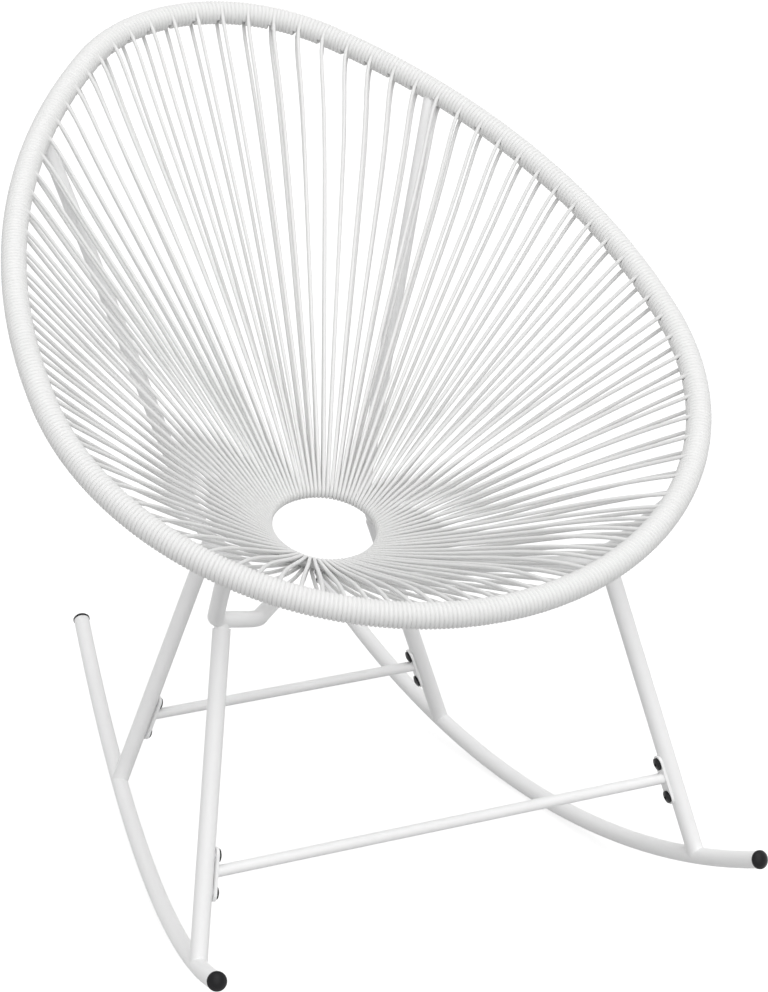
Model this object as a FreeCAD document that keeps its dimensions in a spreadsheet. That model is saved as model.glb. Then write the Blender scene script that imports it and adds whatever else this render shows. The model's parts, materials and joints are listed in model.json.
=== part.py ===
"""String-seat rocking chair.

An egg-shaped steel hoop is wrapped in cord. Cords are laced from the hoop to a small ring and make
the bucket seat. Two bent struts run from the top of the hoop, under the seat, to its front. Four legs
plug onto the struts and stand on two curved rocker rails, and two bars hold the sides apart.
Millimetres, +Z up, the sitter faces -Y, and the chair is symmetric about X = 0.
"""

import FreeCAD, Part
import Sketcher
import math
import os

from FreeCAD import Placement, Rotation, Vector

SIZES = {
    # Seat hoop: a half circle in front, two long side arcs and a small top arc, in one sloping plane
    "hoop_half_width": 361,
    "hoop_side_radius": 748,
    "hoop_top_radius": 206,
    "hoop_slope": 26.6,
    "hoop_mid_y": -100,
    "hoop_mid_z": 612,
    "hoop_tube": 19,
    "tube_wall": 1.5,
    # Cord and its laced loops
    "cord": 4.4,
    "cord_fit": 0.1,
    "front_loops": 24,
    "back_loops": 64,
    "front_zone": 271,
    # Centre ring
    "ring_radius": 68.5,
    "ring_rod": 10,
    "ring_y": 28,
    "ring_z": 367,
    "ring_slope": 18,
    # Struts: where they leave the hoop, measured along it from its front tip, and their corners
    "strut_tube": 17.2,
    "strut_top_along": 1003,
    "strut_front_along": 284,
    "strut_top_share": 0.4,
    "strut_front_share": 0.3,
    "strut_rear_x": 100,
    "strut_rear_y": 160,
    "strut_rear_z": 329,
    "strut_inner_x": 110,
    "strut_inner_y": -104,
    "strut_inner_z": 354,
    "strut_elbow_x": 182,
    "strut_elbow_z": 393,
    "strut_corner_x": 229,
    "strut_corner_z": 401,
    "strut_front_y": -230,
    "strut_rear_bend": 50,
    "strut_inner_bend": 32,
    "strut_elbow_bend": 22,
    "strut_corner_bend": 15,
    # Rocker rails: arcs in upright planes that toe out to the front
    "rail_tube": 19,
    "rail_radius": 995,
    "rail_toe": 9.59,
    "rail_mid_x": 239.5,
    "rail_mid_y": -13.3,
    "rail_front_span": 426,
    "rail_rear_span": 450,
    # Legs
    "leg_tube": 19,
    "leg_gap": 0.5,
    "front_foot_y": -331,
    "front_joint_x": 221,
    "rear_foot_y": 163,
    "rear_joint_y": 128.5,
    "spigot_depth": 40,
    "spigot_fit": 0.15,
    # Stretcher bars, their end plates and bolts
    "bar_tube": 12.5,
    "front_bar_z": 152.5,
    "rear_bar_z": 109.5,
    "plate_length": 57,
    "plate_width": 16,
    "plate_thick": 3,
    "bolt_spacing": 39,
    "bolt_shank": 6,
    "bolt_length": 14,
    "bolt_head": 14,
    "bolt_head_edge": 2.2,
    "bolt_head_dome": 1.8,
    "bolt_socket": 4,
    "bolt_socket_depth": 1.8,
    "nut_outer": 8.8,
    "nut_length": 9,
    "fit": 0.1,
    # Plastic caps in the rail ends
    "rail_cap": 20.5,
    "rail_cap_collar": 2,
    "rail_cap_dome": 5.5,
    "rail_cap_plug": 18,
}

SECTOR_LOOPS = 4
EDGE_STEPS = 18
SIDES = {"left": -1, "right": 1}
UP = Vector(0, 0, 1)

doc = FreeCAD.newDocument("rocking_chair")
sheet = doc.addObject("Spreadsheet::Sheet", "Sizes")
for row, (alias, value) in enumerate(SIZES.items(), start=1):
    sheet.set(f"A{row}", alias)
    sheet.set(f"B{row}", str(value))
    sheet.setAlias(f"B{row}", alias)
doc.recompute()

subparts = []


def size(alias):
    return float(sheet.get(alias))


def bind(obj, **expressions):
    """Bind properties of an object to the sheet; a word in braces is an alias."""
    words = {alias: f"Sizes.{alias}" for alias in SIZES}
    for name, text in expressions.items():
        obj.setExpression(name, text.format(**words))


def primitive(kind, name, placement=None, **expressions):
    obj = doc.addObject(f"Part::{kind}", name)
    bind(obj, **expressions)
    if placement:
        obj.Placement = placement
    return obj


def fuse(name, shapes):
    obj = doc.addObject("Part::MultiFuse", name)
    obj.Shapes = shapes
    return obj


def cut(name, base, tool):
    obj = doc.addObject("Part::Cut", name)
    obj.Base = base
    obj.Tool = tool
    return obj


def feature(name, shape):
    obj = doc.addObject("Part::Feature", name)
    obj.Shape = shape
    return obj


def keep(obj, label):
    """Make an object a sub-part of the chair under its own label."""
    obj.Label = label
    subparts.append(obj)
    return obj


def along(origin, direction):
    """Placement whose local Z axis points along a direction."""
    return Placement(origin, Rotation(UP, direction))


def unit(vector):
    return vector * (1 / vector.Length)


# Hoop and ring geometry


def hoop_frame():
    origin = Vector(0, size("hoop_mid_y"), size("hoop_mid_z"))
    return Placement(origin, Rotation(Vector(1, 0, 0), size("hoop_slope")))


def ring_frame():
    origin = Vector(0, size("ring_y"), size("ring_z"))
    return Placement(origin, Rotation(Vector(1, 0, 0), size("ring_slope")))


def hoop_side_angle():
    width = size("hoop_half_width")
    side = size("hoop_side_radius")
    return math.acos((side - width) / (side - size("hoop_top_radius")))


def hoop_top_centre():
    return (size("hoop_side_radius") - size("hoop_top_radius")) * math.sin(hoop_side_angle())


def hoop_half_length():
    front = size("hoop_half_width") * math.pi / 2
    side = size("hoop_side_radius") * hoop_side_angle()
    top = size("hoop_top_radius") * (math.pi / 2 - hoop_side_angle())
    return front + side + top


def hoop_at(distance):
    """Axis point and direction on the hoop, a distance from the front tip; negative is the left side."""
    if distance > hoop_half_length():
        distance -= 2 * hoop_half_length()
    side = -1 if distance < 0 else 1
    width = size("hoop_half_width")
    radius = size("hoop_side_radius")
    rest = abs(distance) - width * math.pi / 2
    if rest < 0:
        turn = abs(distance) / width - math.pi / 2
        x, s = width * math.cos(turn), width * math.sin(turn)
    elif rest < radius * hoop_side_angle():
        turn = rest / radius
        x, s = width - radius + radius * math.cos(turn), radius * math.sin(turn)
    else:
        top = size("hoop_top_radius")
        turn = hoop_side_angle() + (rest - radius * hoop_side_angle()) / top
        x, s = top * math.cos(turn), hoop_top_centre() + top * math.sin(turn)
    frame = hoop_frame()
    point = frame.multVec(Vector(side * x, s, 0))
    direction = frame.Rotation.multVec(Vector(-math.sin(turn), side * math.cos(turn), 0))
    return point, direction


def ring_at(angle):
    """Axis point and direction on the centre ring, at an angle from its front."""
    frame = ring_frame()
    radius = size("ring_radius")
    point = frame.multVec(Vector(radius * math.sin(angle), -radius * math.cos(angle), 0))
    return point, frame.Rotation.multVec(Vector(math.cos(angle), math.sin(angle), 0))


def hoop_solid(name, section):
    """The hoop's four arcs as one solid ring of a given section radius."""
    lean = "acos(({hoop_side_radius} - {hoop_half_width}) / ({hoop_side_radius} - {hoop_top_radius}))"
    lean_degrees = math.degrees(hoop_side_angle())
    offset = size("hoop_half_width") - size("hoop_side_radius")
    arcs = [
        ("front", "{hoop_half_width}", "180", Vector(0, 0, 0), 180),
        ("right", "{hoop_side_radius}", lean, Vector(offset, 0, 0), 0),
        ("left", "{hoop_side_radius}", lean, Vector(-offset, 0, 0), 180 - lean_degrees),
        ("top", "{hoop_top_radius}", f"180 deg - 2 * {lean}", Vector(0, hoop_top_centre(), 0), lean_degrees),
    ]
    pieces = []
    for place, radius, sweep, centre, start in arcs:
        piece = primitive(
            "Torus",
            f"{name}_{place}",
            Placement(centre, Rotation(UP, start)),
            Radius1=radius,
            Radius2=section,
            Angle3=sweep,
        )
        pieces.append(piece)
    hoop = fuse(name, pieces)
    hoop.Placement = hoop_frame()
    return hoop


# Bent tubes


def disc(centre, direction, radius):
    return Part.Face(Part.Wire(Part.makeCircle(radius, centre, direction)))


def bent_rod(points, bends, radius):
    """Round rod through points, with an arc of a given radius at each inner point."""
    pieces = []
    start = points[0]
    for index, bend in enumerate(bends, start=1):
        corner = points[index]
        inward = unit(corner - points[index - 1])
        outward = unit(points[index + 1] - corner)
        turn = inward.getAngle(outward)
        reach = bend * math.tan(turn / 2)
        arc_start = corner - inward * reach
        axis = unit(inward.cross(outward))
        centre = arc_start + axis.cross(inward) * bend
        pieces.append(disc(start, inward, radius).extrude(arc_start - start))
        pieces.append(disc(arc_start, inward, radius).revolve(centre, axis, math.degrees(turn)))
        start = corner + outward * reach
    last = points[-1]
    pieces.append(disc(start, unit(last - start), radius).extrude(last - start))
    return pieces[0].fuse(pieces[1:])


def between_loops(distance, share):
    """Clear place for a strut's end: a share of the space between two loops that a distance falls into."""
    spots = sorted(loop[0] for loop in laced_loops())
    after = next(spot for spot in spots if spot > distance)
    before = spots[spots.index(after) - 1]
    return before + (after - before) * share


def strut_points(side):
    top = hoop_at(side * between_loops(size("strut_top_along"), size("strut_top_share")))[0]
    rear = Vector(side * size("strut_rear_x"), size("strut_rear_y"), size("strut_rear_z"))
    inner = Vector(side * size("strut_inner_x"), size("strut_inner_y"), size("strut_inner_z"))
    elbow = Vector(side * size("strut_elbow_x"), size("strut_front_y"), size("strut_elbow_z"))
    corner = Vector(side * size("strut_corner_x"), size("strut_front_y"), size("strut_corner_z"))
    front = hoop_at(side * between_loops(size("strut_front_along"), size("strut_front_share")))[0]
    return [top, rear, inner, elbow, corner, front]


def strut_rod(side, radius):
    bends = [size(f"strut_{place}_bend") for place in ("rear", "inner", "elbow", "corner")]
    return bent_rod(strut_points(side), bends, radius)


# Rails and legs


def rail_frame(side):
    """Local X points down from the rail's arc centre and local Y runs back along the rail."""
    back = Vector(-side * math.sin(math.radians(size("rail_toe"))), math.cos(math.radians(size("rail_toe"))), 0)
    height = size("rail_radius") + size("rail_tube") / 2
    centre = Vector(side * size("rail_mid_x"), size("rail_mid_y"), height)
    return Placement(centre, Rotation(Vector(0, 0, -1), back, Vector(0, 0, 0), "XYZ"))


def rail_at(side, angle):
    """Axis point and backward direction on a rail, at an angle from its lowest point."""
    frame = rail_frame(side)
    radius = size("rail_radius")
    point = frame.multVec(Vector(radius * math.cos(angle), radius * math.sin(angle), 0))
    return point, frame.Rotation.multVec(Vector(-math.sin(angle), math.cos(angle), 0))


def rail_end_angle(end):
    return math.asin(size(f"rail_{end}_span") / size("rail_radius"))


def rail_start_frame(side):
    """The frame of a rail, turned so that local X points to the rail's front end."""
    start = Placement(Vector(0, 0, 0), Rotation(UP, -math.degrees(rail_end_angle("front"))))
    return rail_frame(side).multiply(start)


def foot_point(side, y):
    run = (y - size("rail_mid_y")) / math.cos(math.radians(size("rail_toe")))
    return rail_at(side, math.asin(run / size("rail_radius")))[0]


def leg_run(end, side):
    """The straight run of a strut, from corner to corner, that a leg carries."""
    rear, inner, elbow, corner = strut_points(side)[1:5]
    return (elbow, corner) if end == "front" else (rear, inner)


def leg_line(end, side):
    """A leg's axis, from its foot on the rail's axis to its joint on the strut's axis."""
    foot = foot_point(side, size(f"{end}_foot_y"))
    start, finish = leg_run(end, side)
    if end == "front":
        share = (side * size("front_joint_x") - start.x) / (finish.x - start.x)
    else:
        share = (size("rear_joint_y") - start.y) / (finish.y - start.y)
    return foot, start + (finish - start) * share


def leg_top(end, side):
    """Upper end of a leg, whose highest edge stays a small gap below the strut."""
    foot, joint = leg_line(end, side)
    start, finish = leg_run(end, side)
    up = unit(joint - foot)
    slant = abs(up.dot(unit(finish - start)))
    clear = size("strut_tube") / 2 + size("leg_gap") + size("leg_tube") / 2 * slant
    return joint - up * (clear / math.sqrt(1 - slant**2))


def bar_joint(end, side):
    """Where a stretcher bar's line meets a leg's axis."""
    foot, joint = leg_line(end, side)
    return foot + (joint - foot) * ((size(f"{end}_bar_z") - foot.z) / (joint.z - foot.z))


def plate_frame(end, side):
    """Local Z points inward from the leg's axis and local X runs up along the leg."""
    foot, joint = leg_line(end, side)
    up = unit(joint - foot)
    inward = Vector(-side, 0, 0)
    inward = unit(inward - up * inward.dot(up))
    return Placement(bar_joint(end, side), Rotation(up, Vector(0, 0, 0), inward, "ZXY"))


def bolt_frames(distance):
    """Frames of the eight stretcher bolts, each a distance out from its leg's axis."""
    frames = []
    for end in ("front", "rear"):
        for side in SIDES.values():
            for step in (-1, 1):
                place = Placement(Vector(step * size("bolt_spacing") / 2, 0, distance), Rotation())
                frames.append(plate_frame(end, side).multiply(place))
    return frames


def group(label, shape, frames):
    """Equal loose pieces in one node."""
    copies = []
    for frame in frames:
        copy = shape.copy()
        copy.Placement = frame
        copies.append(copy)
    return keep(feature(f"group_{label}", Part.makeCompound(copies)), label)


def make_hoop():
    outer = hoop_solid("hoop_outer", "{hoop_tube} / 2")
    inner = hoop_solid("hoop_bore", "{hoop_tube} / 2 - {tube_wall}")
    keep(cut("hoop", outer, inner), "seat_hoop")


def make_hoop_wrap():
    """Cord wound round the hoop, open where the struts are welded to it."""
    outer = hoop_solid("wrap_outer", "{hoop_tube} / 2 + {cord_fit} + {cord}")
    inner = hoop_solid("wrap_bore", "{hoop_tube} / 2 + {cord_fit}")
    radius = size("strut_tube") / 2 + size("cord_fit")
    rods = [feature(f"wrap_gap_{name}", strut_rod(side, radius)) for name, side in SIDES.items()]
    sleeve = cut("wrap_sleeve", outer, inner)
    left_open = cut("wrap_left_open", sleeve, rods[0])
    keep(cut("wrap", left_open, rods[1]), "hoop_cord_wrap")


def make_ring():
    keep(
        primitive("Torus", "ring", ring_frame(), Radius1="{ring_radius}", Radius2="{ring_rod} / 2"),
        "centre_ring",
    )
    inner = primitive("Torus", "turns_bore", Radius1="{ring_radius}", Radius2="{ring_rod} / 2 + {cord_fit}")
    outer = primitive(
        "Torus", "turns_outer", Radius1="{ring_radius}", Radius2="{ring_rod} / 2 + {cord_fit} + {cord}"
    )
    turns = cut("ring_turns", outer, inner)
    turns.Placement = ring_frame()
    keep(turns, "ring_cord_turns")


def laced_loops():
    """Each loop as its distance along the hoop from the front tip and its angle on the ring."""
    front = int(size("front_loops"))
    back = int(size("back_loops"))
    zone = size("front_zone")
    back_pitch = 2 * (hoop_half_length() - zone) / back
    loops = []
    for index in range(front + back):
        if index < front:
            distance = -zone + index * 2 * zone / front
        else:
            distance = zone + (index - front) * back_pitch
        loops.append((distance, 2 * math.pi * (index - front / 2) / (front + back)))
    return loops


def strand_lead(layer, lean):
    """How far along its run a strand's square end clears the cord turns that it leaves at an angle."""
    radius = size("cord") / 2
    clear = layer + radius + size("cord_fit")
    reach = []
    for step in range(EDGE_STEPS + 1):
        around = math.pi / 2 * step / EDGE_STEPS
        gap = math.sqrt(clear**2 - (layer - radius * math.cos(around)) ** 2)
        reach.append(gap + radius * abs(math.cos(lean)) * math.sin(around))
    return max(reach) / math.sin(lean)


def loop_strands(distance, angle):
    """The two straight runs of one loop, above and below the hoop and the ring."""
    rim, rim_direction = hoop_at(distance)
    ring, ring_direction = ring_at(angle)
    run = unit(ring - rim)
    cord = size("cord")
    strands = []
    for face in (1, -1):
        ends = []
        for centre, direction, core, way in (
            (rim, rim_direction, size("hoop_tube"), 1),
            (ring, ring_direction, size("ring_rod"), -1),
        ):
            layer = core / 2 + size("cord_fit") + cord / 2
            lead = strand_lead(layer, direction.getAngle(run))
            offset = unit(direction.cross(run))
            if offset.z < 0:
                offset = offset * -1
            ends.append(centre + offset * (face * layer) + run * (way * lead))
        strands.append(Part.makeCylinder(cord / 2, (ends[1] - ends[0]).Length, ends[0], ends[1] - ends[0]))
    return strands


def make_seat_cords():
    """Laced cords in sectors of neighbouring loops."""
    loops = laced_loops()
    for number, first in enumerate(range(0, len(loops), SECTOR_LOOPS), start=1):
        strands = []
        for distance, angle in loops[first : first + SECTOR_LOOPS]:
            strands += loop_strands(distance, angle)
        keep(feature(f"cords_{number:02d}", Part.makeCompound(strands)), f"seat_cords_{number:02d}")


def make_struts():
    hoop = doc.getObject("hoop_outer").Shape
    radius = size("strut_tube") / 2
    for name, side in SIDES.items():
        shell = strut_rod(side, radius).cut(strut_rod(side, radius - size("tube_wall")))
        solids = shell.cut(hoop).Solids
        keep(feature(f"strut_{name}", max(solids, key=lambda solid: solid.Volume)), f"{name}_strut")


def make_rail(name, side):
    """A rail is its ring-shaped section turned about the centre of the rocking arc."""
    body = doc.addObject("PartDesign::Body", f"rail_{name}")
    planes = {feat.Role: feat for feat in body.Origin.OriginFeatures}
    sketch = body.newObject("Sketcher::SketchObject", f"rail_{name}_section")
    sketch.AttachmentSupport = [(planes["XZ_Plane"], "")]
    sketch.MapMode = "FlatFace"
    centre = Vector(size("rail_radius"), 0, 0)
    radii = ("{rail_tube} / 2", "{rail_tube} / 2 - {tube_wall}")
    for number, radius in enumerate(radii):
        circle = Part.Circle(centre, UP, size("rail_tube") / 2 - number * size("tube_wall"))
        sketch.addGeometry(circle, False)
        row = sketch.addConstraint(Sketcher.Constraint("Radius", number, circle.Radius))
        sketch.renameConstraint(row, f"radius_{number}")
        bind(sketch, **{f"Constraints.radius_{number}": radius})
    row = sketch.addConstraint(Sketcher.Constraint("DistanceX", -1, 1, 0, 3, centre.x))
    sketch.renameConstraint(row, "arc")
    bind(sketch, **{"Constraints.arc": "{rail_radius}"})
    sketch.addConstraint(Sketcher.Constraint("PointOnObject", 0, 3, -1))
    sketch.addConstraint(Sketcher.Constraint("Coincident", 0, 3, 1, 3))
    turned = body.newObject("PartDesign::Revolution", f"rail_{name}_tube")
    turned.Profile = sketch
    turned.ReferenceAxis = (sketch, ["V_Axis"])
    bind(turned, Angle="asin({rail_front_span} / {rail_radius}) + asin({rail_rear_span} / {rail_radius})")
    body.Placement = rail_start_frame(side)
    keep(body, f"{name}_rocker_rail")


def make_leg(end, name, side):
    """A leg tube, saddle-cut onto its rail and drilled for the bar's fixings."""
    foot = leg_line(end, side)[0]
    top = leg_top(end, side)
    place = along(foot, top - foot)
    tag = f"{end}_{name}"
    outer = primitive("Cylinder", f"leg_outer_{tag}", place, Radius="{leg_tube} / 2")
    bore = primitive("Cylinder", f"leg_bore_{tag}", place, Radius="{leg_tube} / 2 - {tube_wall}")
    for rod in (outer, bore):
        rod.Height = (top - foot).Length
    rail = primitive(
        "Torus", f"leg_saddle_{tag}", rail_start_frame(side), Radius1="{rail_radius}", Radius2="{rail_tube} / 2"
    )
    rail.Angle3 = math.degrees(rail_end_angle("front") + rail_end_angle("rear"))
    holes = []
    for step in (-1, 1):
        spot = Placement(Vector(step * size("bolt_spacing") / 2, 0, 0), Rotation())
        hole = primitive(
            "Cylinder",
            f"leg_hole_{tag}_{step + 2}",
            plate_frame(end, side).multiply(spot),
            Radius="{nut_outer} / 2 + {fit}",
            Height="{leg_tube}",
        )
        holes.append(hole)
    tube = cut(f"leg_tube_{tag}", outer, bore)
    keep(cut(f"leg_{tag}", tube, fuse(f"leg_cuts_{tag}", [rail] + holes)), f"{end}_{name}_leg")


def make_spigot(end, name, side):
    """Plug that is welded under the strut and carries the leg's open top."""
    foot, joint = leg_line(end, side)
    tag = f"{end}_{name}"
    plug = primitive(
        "Cylinder",
        f"spigot_plug_{tag}",
        along(joint, foot - joint),
        Radius="{leg_tube} / 2 - {tube_wall} - {spigot_fit}",
        Height="{strut_tube} / 2 + {leg_gap} + {spigot_depth}",
    )
    strut = feature(f"spigot_strut_{tag}", strut_rod(side, size("strut_tube") / 2))
    keep(cut(f"spigot_{tag}", plug, strut), f"{end}_{name}_spigot")


def make_bar(end):
    """Straight tube between the two end plates of a stretcher."""
    start, finish = bar_joint(end, -1), bar_joint(end, 1)
    place = along(start, finish - start)
    outer = primitive("Cylinder", f"bar_outer_{end}", place, Radius="{bar_tube} / 2")
    bore = primitive("Cylinder", f"bar_bore_{end}", place, Radius="{bar_tube} / 2 - {tube_wall}")
    for rod in (outer, bore):
        rod.Height = (finish - start).Length
    ends = []
    for name, side in SIDES.items():
        block = primitive(
            "Box",
            f"bar_end_{end}_{name}",
            Length="{plate_length}",
            Width="{plate_length}",
            Height="{leg_tube} + {plate_thick}",
        )
        reach = size("leg_tube") / 2
        corner = Vector(-size("plate_length") / 2, -size("plate_length") / 2, -reach)
        block.Placement = plate_frame(end, side).multiply(Placement(corner, Rotation()))
        ends.append(block)
    tube = cut(f"bar_tube_{end}", outer, bore)
    keep(cut(f"bar_{end}", tube, fuse(f"bar_ends_{end}", ends)), f"{end}_stretcher_bar")


def make_plate(end, name, side):
    """Round-ended plate that is bolted to the inner face of a leg."""
    body = doc.addObject("PartDesign::Body", f"plate_{end}_{name}")
    planes = {feat.Role: feat for feat in body.Origin.OriginFeatures}
    sketch = body.newObject("Sketcher::SketchObject", f"plate_{end}_{name}_outline")
    sketch.AttachmentSupport = [(planes["XY_Plane"], "")]
    sketch.MapMode = "FlatFace"
    radius = size("plate_width") / 2
    reach = size("plate_length") / 2 - radius
    right, left = Vector(reach, 0, 0), Vector(-reach, 0, 0)
    quarter = math.pi / 2
    sketch.addGeometry(Part.ArcOfCircle(Part.Circle(right, UP, radius), -quarter, quarter), False)
    sketch.addGeometry(Part.ArcOfCircle(Part.Circle(left, UP, radius), quarter, 3 * quarter), False)
    upper = Vector(0, radius, 0)
    sketch.addGeometry(Part.LineSegment(right + upper, left + upper), False)
    sketch.addGeometry(Part.LineSegment(left - upper, right - upper), False)
    for first, point, second, other in ((0, 2, 2, 1), (2, 2, 1, 1), (1, 2, 3, 1), (3, 2, 0, 1)):
        sketch.addConstraint(Sketcher.Constraint("Tangent", first, point, second, other))
    holes = (size("bolt_spacing") / 2, -size("bolt_spacing") / 2)
    for spot in holes:
        sketch.addGeometry(Part.Circle(Vector(spot, 0, 0), UP, size("bolt_shank") / 2 + size("fit")), False)
    for centre, twin in ((0, 1), (4, 5)):
        sketch.addConstraint(Sketcher.Constraint("PointOnObject", centre, 3, -1))
        sketch.addConstraint(Sketcher.Constraint("Equal", centre, twin))
        sketch.addConstraint(Sketcher.Constraint("Symmetric", centre, 3, twin, 3, -1, 1))
    driven = (
        ("Radius", (0, radius), "{plate_width} / 2"),
        ("DistanceX", (1, 3, 0, 3, 2 * reach), "{plate_length} - {plate_width}"),
        ("Radius", (4, size("bolt_shank") / 2 + size("fit")), "{bolt_shank} / 2 + {fit}"),
        ("DistanceX", (5, 3, 4, 3, size("bolt_spacing")), "{bolt_spacing}"),
    )
    for number, (kind, values, text) in enumerate(driven):
        row = sketch.addConstraint(Sketcher.Constraint(kind, *values))
        sketch.renameConstraint(row, f"driven_{number}")
        bind(sketch, **{f"Constraints.driven_{number}": text})
    pad = body.newObject("PartDesign::Pad", f"plate_{end}_{name}_pad")
    pad.Profile = sketch
    bind(pad, Length="{plate_thick}")
    seat = Placement(Vector(0, 0, size("leg_tube") / 2), Rotation())
    body.Placement = plate_frame(end, side).multiply(seat)
    keep(body, f"{end}_{name}_bar_plate")


def low_dome(name, base, level):
    """Segment of a sphere on a round base at a given level; its height has the base's name and _dome."""
    ball = f"(({{{base}}} / 2)^2 + {{{base}_dome}}^2) / (2 * {{{base}_dome}})"
    dome = primitive("Sphere", name, Radius=ball, Angle1=f"asin(1 - {{{base}_dome}} / ({ball}))")
    height = size(f"{base}_dome")
    radius = ((size(base) / 2) ** 2 + height**2) / (2 * height)
    dome.Placement = Placement(Vector(0, 0, level + height - radius), Rotation())
    return dome


def make_fixings():
    """Stretcher bolts with broad, low heads and hexagon sockets, and their blind nuts in the legs."""
    edge = primitive("Cylinder", "bolt_head_disc", Radius="{bolt_head} / 2", Height="{bolt_head_edge}")
    dome = low_dome("bolt_head_dome", "bolt_head", size("bolt_head_edge"))
    shank = primitive("Cylinder", "bolt_shank_rod", Radius="{bolt_shank} / 2", Height="{bolt_length}")
    shank.Placement = Placement(Vector(0, 0, -size("bolt_length")), Rotation())
    socket = primitive("Prism", "bolt_socket_hexagon", Circumradius="{bolt_socket} / sqrt(3)")
    bind(socket, Height="{bolt_socket_depth}")
    depth = size("bolt_head_edge") + size("bolt_head_dome") - size("bolt_socket_depth")
    socket.Placement = Placement(Vector(0, 0, depth), Rotation())
    bolt = cut("bolt", fuse("bolt_solid", [edge, dome, shank]), socket)
    body = primitive("Cylinder", "nut_body", Radius="{nut_outer} / 2", Height="{nut_length}")
    bore = primitive("Cylinder", "nut_bore", Radius="{bolt_shank} / 2 + {fit}", Height="{nut_length}")
    nut = cut("nut", body, bore)
    doc.recompute()
    face = size("leg_tube") / 2 + size("plate_thick")
    group("stretcher_bolts", bolt.Shape, bolt_frames(face))
    group("blind_nuts", nut.Shape, bolt_frames(size("leg_tube") / 2 - size("nut_length")))


def make_rail_cap(end, name, side):
    """Plastic cap with a shallow dome, pushed into the end of a rail."""
    way = 1 if end == "rear" else -1
    point, back = rail_at(side, way * rail_end_angle(end))
    tag = f"{end}_{name}"
    plug = primitive(
        "Cylinder",
        f"rail_plug_{tag}",
        Radius="{rail_tube} / 2 - {tube_wall} - {fit} * 2",
        Height="{rail_cap_plug}",
    )
    plug.Placement = Placement(Vector(0, 0, -size("rail_cap_plug")), Rotation())
    collar = primitive("Cylinder", f"rail_collar_{tag}", Radius="{rail_cap} / 2", Height="{rail_cap_collar}")
    dome = low_dome(f"rail_dome_{tag}", "rail_cap", size("rail_cap_collar"))
    cap = fuse(f"rail_cap_{tag}", [plug, collar, dome])
    cap.Placement = along(point, back * way)
    keep(cap, f"{end}_{name}_rail_cap")


make_hoop()
doc.recompute()
make_hoop_wrap()
make_ring()
make_seat_cords()
make_struts()
for side_name, side_sign in SIDES.items():
    make_rail(side_name, side_sign)
    for leg_end in ("front", "rear"):
        make_leg(leg_end, side_name, side_sign)
        make_spigot(leg_end, side_name, side_sign)
        make_plate(leg_end, side_name, side_sign)
        make_rail_cap(leg_end, side_name, side_sign)
for bar_end in ("front", "rear"):
    make_bar(bar_end)
make_fixings()
doc.recompute()

for obj in doc.Objects:
    if "Invalid" in obj.State or "Error" in obj.State:
        raise RuntimeError(f"{obj.Name} failed: {obj.State}")
for obj in subparts:
    if obj.Shape.isNull() or not obj.Shape.isValid():
        raise RuntimeError(f"{obj.Label} has no valid shape")

os.makedirs("parts", exist_ok=True)
for obj in subparts:
    obj.Shape.exportStep(f"parts/{obj.Label}.step")
    print(f"{obj.Label}: {len(obj.Shape.Solids)} solids, {obj.Shape.Volume / 1000:.2f} cm3")
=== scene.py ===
"""Looks of the string-seat rocking chair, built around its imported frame.

The cords are laid turn by turn: short windings cover the hoop, and every laced loop runs over the
hoop, round the centre ring and back. Metres, +Z up, the sitter faces -Y.
"""

import json
import math
import random

import bpy
from mathutils import Matrix, Vector


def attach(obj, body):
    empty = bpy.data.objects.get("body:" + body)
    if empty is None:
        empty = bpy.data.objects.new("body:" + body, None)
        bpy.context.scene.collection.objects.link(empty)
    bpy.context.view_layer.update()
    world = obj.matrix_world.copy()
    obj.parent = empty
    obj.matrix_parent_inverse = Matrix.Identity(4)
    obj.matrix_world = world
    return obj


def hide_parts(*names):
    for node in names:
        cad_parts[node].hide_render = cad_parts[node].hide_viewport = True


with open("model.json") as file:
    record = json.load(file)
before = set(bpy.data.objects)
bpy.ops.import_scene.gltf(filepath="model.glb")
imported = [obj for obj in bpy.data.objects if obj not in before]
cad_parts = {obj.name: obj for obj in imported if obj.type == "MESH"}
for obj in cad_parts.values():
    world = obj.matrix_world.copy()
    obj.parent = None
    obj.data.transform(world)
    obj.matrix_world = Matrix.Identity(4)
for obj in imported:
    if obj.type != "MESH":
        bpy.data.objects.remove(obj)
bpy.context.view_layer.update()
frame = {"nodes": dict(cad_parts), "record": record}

MM = 0.001

# Seat hoop: a front half circle, two long side arcs and a small top arc in one sloping plane
HOOP_HALF_WIDTH = 361 * MM
HOOP_SIDE_RADIUS = 748 * MM
HOOP_TOP_RADIUS = 206 * MM
HOOP_SLOPE = math.radians(26.6)
HOOP_MID = Vector((0, -100 * MM, 612 * MM))
HOOP_TUBE = 19 * MM
HOOP_NORMAL = Vector((0, -math.sin(HOOP_SLOPE), math.cos(HOOP_SLOPE)))

# Centre ring
RING_RADIUS = 68.5 * MM
RING_ROD = 10 * MM
RING_SLOPE = math.radians(18)
RING_MID = Vector((0, 28 * MM, 367 * MM))

# Cord and its lacing. The wound turns press into each other, so they are thicker than their pitch
CORD = 4.4 * MM
CORD_FIT = 0.1 * MM
WIND_PITCH = 4.55 * MM
WIND_CORD = 5.2 * MM
WIND_LAYER = HOOP_TUBE / 2 + CORD_FIT + CORD - WIND_CORD / 2
RING_LAYER = RING_ROD / 2 + CORD_FIT + CORD / 2
FRONT_LOOPS = 24
BACK_LOOPS = 64
FRONT_ZONE = 271 * MM

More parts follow.
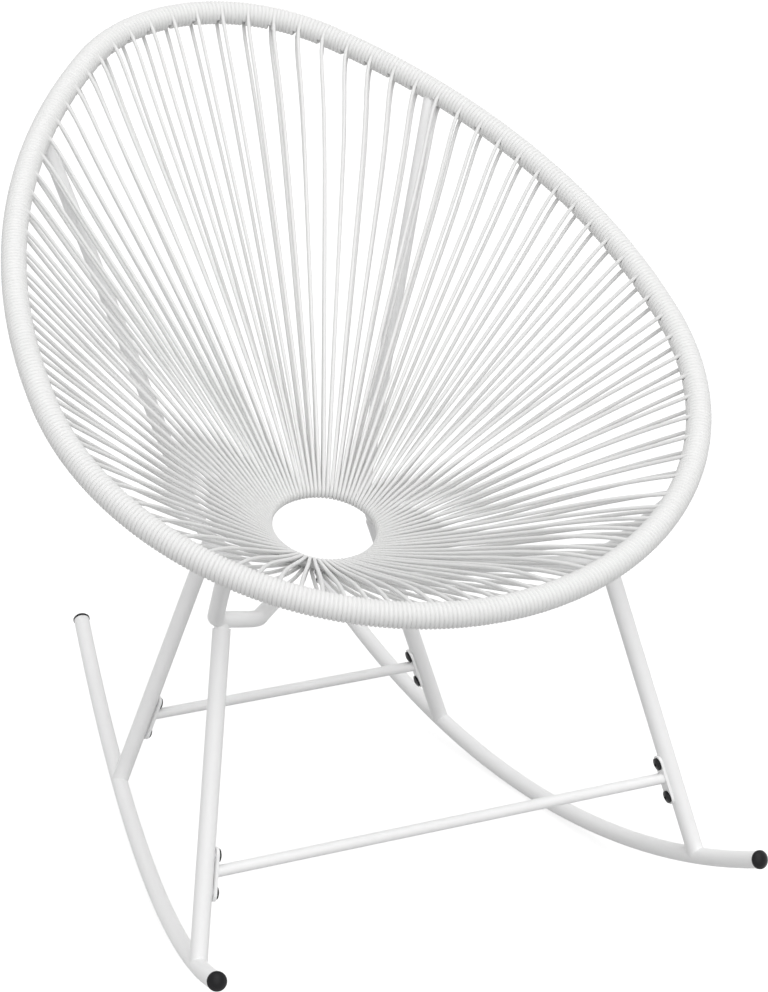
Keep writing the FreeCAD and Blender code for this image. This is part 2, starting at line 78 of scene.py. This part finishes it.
# Bow of the laced cords: the stiff front ones bow upwards, and those at the back hang a little
FRONT_BOW = 7 * MM
BACK_BOW = -0.8 * MM
BOW_FADE = 0.7
BOW_SPREAD = (0.6, 1.25)
BOW_POWER = 3
BOW_PEAK = BOW_POWER**BOW_POWER / (BOW_POWER + 1) ** (BOW_POWER + 1)
SIDE_STRAY = 1.3 * MM
STIFF_REACH = 28 * MM
LACING_SEED = 11

# Fineness of the cords; the points of a laced run lie closer together near the hoop
CORD_SIDES = 10
TURN_STEPS = 18
WIND_STEP = 2 * MM
WIND_LEAST_STEPS = 4
RIM_BEND_STEPS = 12
RING_BEND_STEPS = 10
RUN_STEPS = 14
STEP_POWER = 2

# Finishes: a colour and how far it drifts, the least and most roughness, and a fine grain
DRIFT_SCALE = 9.0
DRIFT_DETAIL = 4.0
GRAIN_DETAIL = 3.0
BUMP_STRENGTH = 0.35
FINISHES = {
    "white_cord": {
        "colour": (0.85, 0.85, 0.845),
        "variation": 0.96,
        "roughness": (0.32, 0.46),
        "bump_scale": 420,
        "bump_depth": 0.12 * MM,
    },
    "white_powder_coat": {
        "colour": (0.94, 0.94, 0.94),
        "variation": 0.97,
        "roughness": (0.34, 0.48),
        "bump_scale": 900,
        "bump_depth": 0.08 * MM,
    },
    "black_plastic": {
        "colour": (0.006, 0.006, 0.007),
        "variation": 1.6,
        "roughness": (0.3, 0.46),
        "bump_scale": 700,
        "bump_depth": 0.1 * MM,
        "shine": 0.2,
    },
    "zinc_steel": {
        "colour": (0.62, 0.62, 0.64),
        "variation": 0.9,
        "roughness": (0.3, 0.42),
        "bump_scale": 600,
        "bump_depth": 0.05 * MM,
        "metallic": 1.0,
    },
    "black_steel": {
        "colour": (0.006, 0.006, 0.007),
        "variation": 1.5,
        "roughness": (0.26, 0.4),
        "bump_scale": 800,
        "bump_depth": 0.06 * MM,
        "shine": 0.2,
    },
}

# Floor, light and camera; the floor and the world glow for rays that see them directly
FLOOR_REACH = 12
FLOOR_GREY = 0.36
FLOOR_ROUGHNESS = 0.9
FLOOR_GLOW = 0.77
WORLD_LIGHT = 0.66
WORLD_SEEN = 1.0
LAMPS = {
    "key": {"light": 0.72, "spread": math.radians(50), "from": Vector((0.1, -0.3, 1.0))},
    "fill": {"light": 0.82, "spread": math.radians(60), "from": Vector((-0.2, -1.0, 0.65))},
}
CAMERA_PLACE = Vector((-1.1989, -2.872, 1.664))
CAMERA_AZIMUTH = math.radians(-23.692)
CAMERA_ELEVATION = math.radians(21.851)
CAMERA_LENS = 108.87
CAMERA_SENSOR = 36


# Hoop and ring


def sloped(point, mid, slope):
    """A point of a sloping plane, given in the plane, in the chair's frame."""
    return mid + Matrix.Rotation(slope, 3, "X") @ Vector(point)


def hoop_side_angle():
    """Angle that each long side arc of the hoop turns through."""
    reach = HOOP_SIDE_RADIUS - HOOP_TOP_RADIUS
    return math.acos((HOOP_SIDE_RADIUS - HOOP_HALF_WIDTH) / reach)


def hoop_half_length():
    """Length of the hoop's axis from its front tip to its top."""
    front = HOOP_HALF_WIDTH * math.pi / 2
    side = HOOP_SIDE_RADIUS * hoop_side_angle()
    return front + side + HOOP_TOP_RADIUS * (math.pi / 2 - hoop_side_angle())


def hoop_at(distance):
    """Axis point and direction on the hoop, a distance from its front tip, negative to the left."""
    if distance > hoop_half_length():
        distance -= 2 * hoop_half_length()
    side = -1 if distance < 0 else 1
    rest = abs(distance) - HOOP_HALF_WIDTH * math.pi / 2
    if rest < 0:
        turn = abs(distance) / HOOP_HALF_WIDTH - math.pi / 2
        x, s = HOOP_HALF_WIDTH * math.cos(turn), HOOP_HALF_WIDTH * math.sin(turn)
    elif rest < HOOP_SIDE_RADIUS * hoop_side_angle():
        turn = rest / HOOP_SIDE_RADIUS
        x = HOOP_HALF_WIDTH - HOOP_SIDE_RADIUS * (1 - math.cos(turn))
        s = HOOP_SIDE_RADIUS * math.sin(turn)
    else:
        turn = hoop_side_angle() + (rest - HOOP_SIDE_RADIUS * hoop_side_angle()) / HOOP_TOP_RADIUS
        centre = (HOOP_SIDE_RADIUS - HOOP_TOP_RADIUS) * math.sin(hoop_side_angle())
        x, s = HOOP_TOP_RADIUS * math.cos(turn), centre + HOOP_TOP_RADIUS * math.sin(turn)
    point = sloped((side * x, s, 0), HOOP_MID, HOOP_SLOPE)
    return point, sloped((-math.sin(turn), side * math.cos(turn), 0), Vector(), HOOP_SLOPE)


def ring_at(angle):
    """Axis point and direction on the centre ring, at an angle from its front."""
    point = (RING_RADIUS * math.sin(angle), -RING_RADIUS * math.cos(angle), 0)
    direction = (math.cos(angle), math.sin(angle), 0)
    return sloped(point, RING_MID, RING_SLOPE), sloped(direction, Vector(), RING_SLOPE)


def laced_loops():
    """Each loop as its distance along the hoop from the front tip and its angle on the ring."""
    pitch = 2 * (hoop_half_length() - FRONT_ZONE) / BACK_LOOPS
    loops = []
    for index in range(FRONT_LOOPS + BACK_LOOPS):
        if index < FRONT_LOOPS:
            distance = FRONT_ZONE * (2 * index / FRONT_LOOPS - 1)
        else:
            distance = FRONT_ZONE + (index - FRONT_LOOPS) * pitch
        angle = 2 * math.pi * (index - FRONT_LOOPS / 2) / (FRONT_LOOPS + BACK_LOOPS)
        loops.append((distance, angle))
    return loops


# Node trees


def new_tree(name, inputs):
    """Geometry tree with named inputs, and the sockets that give their values."""
    tree = bpy.data.node_groups.new(name, "GeometryNodeTree")
    tree.interface.new_socket("Geometry", in_out="INPUT", socket_type="NodeSocketGeometry")
    for label, kind in inputs:
        tree.interface.new_socket(label, in_out="INPUT", socket_type=f"NodeSocket{kind}")
    tree.interface.new_socket("Geometry", in_out="OUTPUT", socket_type="NodeSocketGeometry")
    return tree, tree.nodes.new("NodeGroupInput").outputs


def add(tree, kind, inputs=None, **settings):
    """New node; its inputs take another node's output socket or a plain value."""
    item = tree.nodes.new(kind)
    for name, value in settings.items():
        setattr(item, name, value)
    for key, value in (inputs or {}).items():
        socket = item.inputs[key]
        if isinstance(value, bpy.types.NodeSocket):
            tree.links.new(value, socket)
        else:
            socket.default_value = value
    return item


def calc(tree, operation, first, second=0.0):
    """Result of a sum on one or two numbers."""
    return add(tree, "ShaderNodeMath", {0: first, 1: second}, operation=operation).outputs[0]


def vector(tree, operation, first, second):
    """Result of a sum on two vectors, or on a vector and its scale."""
    key = "Scale" if operation == "SCALE" else 1
    inputs = {0: first, key: second}
    return add(tree, "ShaderNodeVectorMath", inputs, operation=operation).outputs[0]


def close_tree(tree, geometry, material):
    """Every tree ends in real geometry, smooth shading and its material."""
    real = add(tree, "GeometryNodeRealizeInstances", {"Geometry": geometry})
    smooth = add(tree, "GeometryNodeSetShadeSmooth", {"Geometry": real.outputs[0]})
    inputs = {"Geometry": smooth.outputs[0], "Material": material}
    painted = add(tree, "GeometryNodeSetMaterial", inputs)
    end = tree.nodes.new("NodeGroupOutput")
    tree.links.new(painted.outputs[0], end.inputs[0])


def swept(tree, curve, radius, sides):
    """Round cord along every spline of a curve, as thick at each point as the spline says."""
    ring = add(tree, "GeometryNodeCurvePrimitiveCircle", {"Resolution": sides, "Radius": radius})
    inputs = {
        "Curve": curve,
        "Profile Curve": ring.outputs["Curve"],
        "Scale": add(tree, "GeometryNodeInputRadius").outputs["Radius"],
        "Fill Caps": True,
    }
    return add(tree, "GeometryNodeCurveToMesh", inputs).outputs[0]


def winding_tree():
    """Cord wound round each spline in whole turns that start on the side of the hoop's middle."""
    tree, given = new_tree(
        "wound_cord",
        [
            ("Pitch", "Float"),
            ("Layer Radius", "Float"),
            ("Cord Radius", "Float"),
            ("Steps", "Int"),
            ("Sides", "Int"),
            ("Plane Normal", "Vector"),
            ("Material", "Material"),
        ],
    )
    length = add(tree, "GeometryNodeSplineLength").outputs["Length"]
    whole = calc(tree, "ROUND", calc(tree, "DIVIDE", length, given["Pitch"]))
    turns = calc(tree, "MAXIMUM", whole, 1.0)
    count = calc(tree, "ADD", calc(tree, "MULTIPLY", turns, given["Steps"]), 1.0)
    inputs = {"Curve": given["Geometry"], "Count": count}
    fine = add(tree, "GeometryNodeResampleCurve", inputs).outputs[0]
    along = add(tree, "GeometryNodeSplineParameter").outputs["Factor"]
    angle = calc(tree, "MULTIPLY", calc(tree, "MULTIPLY", along, turns), 2 * math.pi)
    tangent = add(tree, "GeometryNodeInputTangent").outputs[0]
    inward = vector(tree, "CROSS_PRODUCT", given["Plane Normal"], tangent)
    across = vector(tree, "SCALE", inward, calc(tree, "COSINE", angle))
    upward = vector(tree, "SCALE", given["Plane Normal"], calc(tree, "SINE", angle))
    offset = vector(tree, "SCALE", vector(tree, "ADD", across, upward), given["Layer Radius"])
    wound = add(tree, "GeometryNodeSetPosition", {"Geometry": fine, "Offset": offset}).outputs[0]
    cord = swept(tree, wound, given["Cord Radius"], given["Sides"])
    close_tree(tree, cord, given["Material"])
    return tree


def cord_tree():
    """Plain round cord along each spline."""
    tree, given = new_tree(
        "laid_cord",
        [
            ("Cord Radius", "Float"),
            ("Sides", "Int"),
            ("Material", "Material"),
        ],
    )
    cord = swept(tree, given["Geometry"], given["Cord Radius"], given["Sides"])
    close_tree(tree, cord, given["Material"])
    return tree


def grown(name, paths, closed, tree, values):
    """Plain mesh object that a node tree grows from paths of points, each with its width."""
    curve = bpy.data.curves.new(name, "CURVE")
    curve.dimensions = "3D"
    for path in paths:
        spline = curve.splines.new("POLY")
        spline.points.add(len(path) - 1)
        spline.points.foreach_set("co", [value for point, width in path for value in (*point, 1)])
        spline.points.foreach_set("radius", [width for point, width in path])
        spline.use_cyclic_u = closed
    source = bpy.data.objects.new(f"{name}_paths", curve)
    bpy.context.scene.collection.objects.link(source)
    modifier = source.modifiers.new(name, "NODES")
    modifier.node_group = tree
    for item in tree.interface.items_tree:
        if item.name in values:
            modifier[item.identifier] = values[item.name]
    graph = bpy.context.evaluated_depsgraph_get()
    mesh = bpy.data.meshes.new_from_object(source.evaluated_get(graph), depsgraph=graph)
    mesh.name = name
    bpy.data.objects.remove(source)
    piece = bpy.data.objects.new(name, mesh)
    bpy.context.scene.collection.objects.link(piece)
    return piece


# Finishes


def finish_of(name, colour, variation, roughness, bump_scale, bump_depth, metallic=0.0, shine=0.5):
    """Finish whose tone and roughness drift a little over the surface, with a fine bump."""
    material = bpy.data.materials.new(name)
    material.use_nodes = True
    tree = material.node_tree
    shader = tree.nodes["Principled BSDF"]
    shader.inputs["Metallic"].default_value = metallic
    shader.inputs["Specular IOR Level"].default_value = shine
    place = tree.nodes.new("ShaderNodeTexCoord").outputs["Object"]
    inputs = {"Vector": place, "Scale": DRIFT_SCALE, "Detail": DRIFT_DETAIL}
    drift = add(tree, "ShaderNodeTexNoise", inputs).outputs[0]
    tone = add(tree, "ShaderNodeMix", {"Factor": drift}, data_type="RGBA")
    tone.inputs["A"].default_value = (*colour, 1)
    tone.inputs["B"].default_value = (*(channel * variation for channel in colour), 1)
    tree.links.new(tone.outputs["Result"], shader.inputs["Base Color"])
    inputs = {"Value": drift, "To Min": roughness[0], "To Max": roughness[1]}
    dullness = add(tree, "ShaderNodeMapRange", inputs).outputs[0]
    tree.links.new(dullness, shader.inputs["Roughness"])
    inputs = {"Vector": place, "Scale": bump_scale, "Detail": GRAIN_DETAIL}
    grain = add(tree, "ShaderNodeTexNoise", inputs).outputs[0]
    inputs = {"Height": grain, "Strength": BUMP_STRENGTH, "Distance": bump_depth}
    bump = add(tree, "ShaderNodeBump", inputs)
    tree.links.new(bump.outputs[0], shader.inputs["Normal"])
    return material


finishes = {name: finish_of(name, **values) for name, values in FINISHES.items()}
for part in frame["record"]["subparts"]:
    part_mesh = frame["nodes"][part["node"]].data
    part_mesh.materials.clear()
    part_mesh.materials.append(finishes[part["material_slot"]])


# Cords


def winding_paths():
    """Stretches of the hoop's axis between neighbouring laced loops."""
    loops = [distance for distance, angle in laced_loops()]
    loops.append(loops[0] + 2 * hoop_half_length())
    paths = []
    for start, end in zip(loops, loops[1:]):
        start += WIND_PITCH / 2
        end -= WIND_PITCH / 2
        steps = max(WIND_LEAST_STEPS, round((end - start) / WIND_STEP))
        spots = [start + (end - start) * step / steps for step in range(steps + 1)]
        paths.append([(hoop_at(spot)[0], 1) for spot in spots])
    return paths


def bend(centre, start, middle, shift, steps):
    """Half turn round a centre, from one side over the middle to the other, shifting on its way."""
    points = []
    for step in range(steps + 1):
        turn = math.pi * step / steps
        point = centre + start * math.cos(turn) + middle * math.sin(turn)
        points.append(point + shift * (step / steps - 0.5))
    return points


def tube_sides(along, run):
    """Directions across a tube where a cord leaves it: up, and level with the cord's run."""
    up = along.cross(run).normalized()
    if up.z < 0:
        up = -up
    return up, (run - along * run.dot(along)).normalized()


def hoop_bend(centre, along, run):
    """Half turn of a loop over the outside of the hoop, in step with the wound turns beside it."""
    up, inward = tube_sides(along, run)
    lean = math.atan2(up.dot(HOOP_NORMAL), up.dot(HOOP_NORMAL.cross(along))) - math.pi / 2
    centre = centre + along * (WIND_PITCH * lean / (2 * math.pi))
    shift = along * (WIND_PITCH / 2)
    return bend(centre, up * WIND_LAYER, -inward * WIND_LAYER, shift, RIM_BEND_STEPS)


def ring_bend(centre, along, run):
    """Half turn of a loop round the inside of the centre ring, from below to above."""
    up, inward = tube_sides(along, run)
    return bend(centre, -up * RING_LAYER, inward * RING_LAYER, Vector(), RING_BEND_STEPS)


def bowed_run(rim_end, ring_end, bow, stray, sideways):
    """Inner points of a cord from hoop to ring: it bows, strays and leaves the hoop squarely."""
    points = []
    stiffness = (ring_end - rim_end).length / STIFF_REACH - 1
    for step in range(1, RUN_STEPS):
        share = (step / RUN_STEPS) ** STEP_POWER
        rise = bow * share * (1 - share) ** BOW_POWER / BOW_PEAK
        late = sideways * share * (1 - share) ** stiffness
        point = rim_end.lerp(ring_end, share) - late + stray * math.sin(math.pi * share)
        points.append(point + Vector((0, 0, rise)))
    return points


def loop_path(distance, angle, chance):
    """Closed path of one laced loop: over the hoop, down, round the centre ring and back up."""
    rim, rim_along = hoop_at(distance)
    ring, ring_along = ring_at(angle)
    run = (ring - rim).normalized()
    over_hoop = hoop_bend(rim, rim_along, run)
    round_ring = ring_bend(ring, ring_along, run)
    frontness = max(0, math.cos(angle)) ** BOW_FADE
    bow = BACK_BOW + (FRONT_BOW - BACK_BOW) * frontness
    runs = []
    for rim_end, ring_end in ((over_hoop[-1], round_ring[0]), (over_hoop[0], round_ring[-1])):
        stray = ring_along * chance.uniform(-SIDE_STRAY, SIDE_STRAY)
        sideways = rim_along * (ring_end - rim_end).dot(rim_along)
        own_bow = bow * chance.uniform(*BOW_SPREAD)
        runs.append(bowed_run(rim_end, ring_end, own_bow, stray, sideways))
    lower, upper = runs
    bight = [(point, WIND_CORD / CORD) for point in over_hoop]
    return bight + [(point, 1) for point in lower + round_ring + upper[::-1]]


wind = grown(
    "hoop_winding",
    winding_paths(),
    False,
    winding_tree(),
    {
        "Pitch": WIND_PITCH,
        "Layer Radius": WIND_LAYER,
        "Cord Radius": WIND_CORD / 2,
        "Steps": TURN_STEPS,
        "Sides": CORD_SIDES,
        "Plane Normal": tuple(HOOP_NORMAL),
        "Material": finishes["white_cord"],
    },
)
lacing_chance = random.Random(LACING_SEED)
lacing = grown(
    "seat_lacing",
    [loop_path(distance, angle, lacing_chance) for distance, angle in laced_loops()],
    True,
    cord_tree(),
    {"Cord Radius": CORD / 2, "Sides": CORD_SIDES, "Material": finishes["white_cord"]},
)
cord_nodes = sorted(name for name in frame["nodes"] if name.startswith("seat_cords_"))
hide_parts("hoop_cord_wrap")
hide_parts("ring_cord_turns", *cord_nodes)
for piece in (wind, lacing):
    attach(piece, "root")


# Floor, light and camera


def seen_directly(tree):
    """One for rays that see a surface directly, mirrored or through glass, and zero for others."""
    path = tree.nodes.new("ShaderNodeLightPath").outputs
    mirrored = calc(tree, "MAXIMUM", path["Is Glossy Ray"], path["Is Transmission Ray"])
    return calc(tree, "MAXIMUM", path["Is Camera Ray"], mirrored)


floor_mesh = bpy.data.meshes.new("floor")
corner_signs = ((-1, -1), (1, -1), (1, 1), (-1, 1))
corners = [(x * FLOOR_REACH, y * FLOOR_REACH, 0) for x, y in corner_signs]
floor_mesh.from_pydata(corners, [], [(0, 1, 2, 3)])
floor = bpy.data.objects.new("floor", floor_mesh)
bpy.context.scene.collection.objects.link(floor)
floor_paint = bpy.data.materials.new("floor_paint")
floor_paint.use_nodes = True
floor_tree = floor_paint.node_tree
floor_shader = floor_tree.nodes["Principled BSDF"]
floor_shader.inputs["Base Color"].default_value = (FLOOR_GREY, FLOOR_GREY, FLOOR_GREY, 1)
floor_shader.inputs["Roughness"].default_value = FLOOR_ROUGHNESS
floor_shader.inputs["Emission Color"].default_value = (1, 1, 1, 1)
floor_glow = calc(floor_tree, "MULTIPLY", seen_directly(floor_tree), FLOOR_GLOW)
floor_tree.links.new(floor_glow, floor_shader.inputs["Emission Strength"])
floor_mesh.materials.append(floor_paint)

world = bpy.data.worlds.new("studio")
world.use_nodes = True
world_tree = world.node_tree
background = world_tree.nodes["Background"]
background.inputs["Color"].default_value = (1, 1, 1, 1)
sky_range = {"Value": seen_directly(world_tree), "To Min": WORLD_LIGHT, "To Max": WORLD_SEEN}
sky = add(world_tree, "ShaderNodeMapRange", sky_range)
world_tree.links.new(sky.outputs[0], background.inputs["Strength"])
bpy.context.scene.world = world

for lamp_name, settings in LAMPS.items():
    lamp = bpy.data.objects.new(lamp_name, bpy.data.lights.new(lamp_name, "SUN"))
    lamp.data.energy = settings["light"]
    lamp.data.angle = settings["spread"]
    lamp.rotation_euler = settings["from"].to_track_quat("Z", "Y").to_euler()
    bpy.context.scene.collection.objects.link(lamp)

camera = bpy.data.objects.new("camera", bpy.data.cameras.new("camera"))
camera.data.sensor_fit = "VERTICAL"
camera.data.sensor_height = CAMERA_SENSOR
camera.data.lens = CAMERA_LENS
camera.location = CAMERA_PLACE
camera.rotation_euler = (math.pi / 2 - CAMERA_ELEVATION, 0, CAMERA_AZIMUTH)
bpy.context.scene.collection.objects.link(camera)
bpy.context.scene.camera = camera
bpy.context.scene.view_settings.view_transform = "Standard"
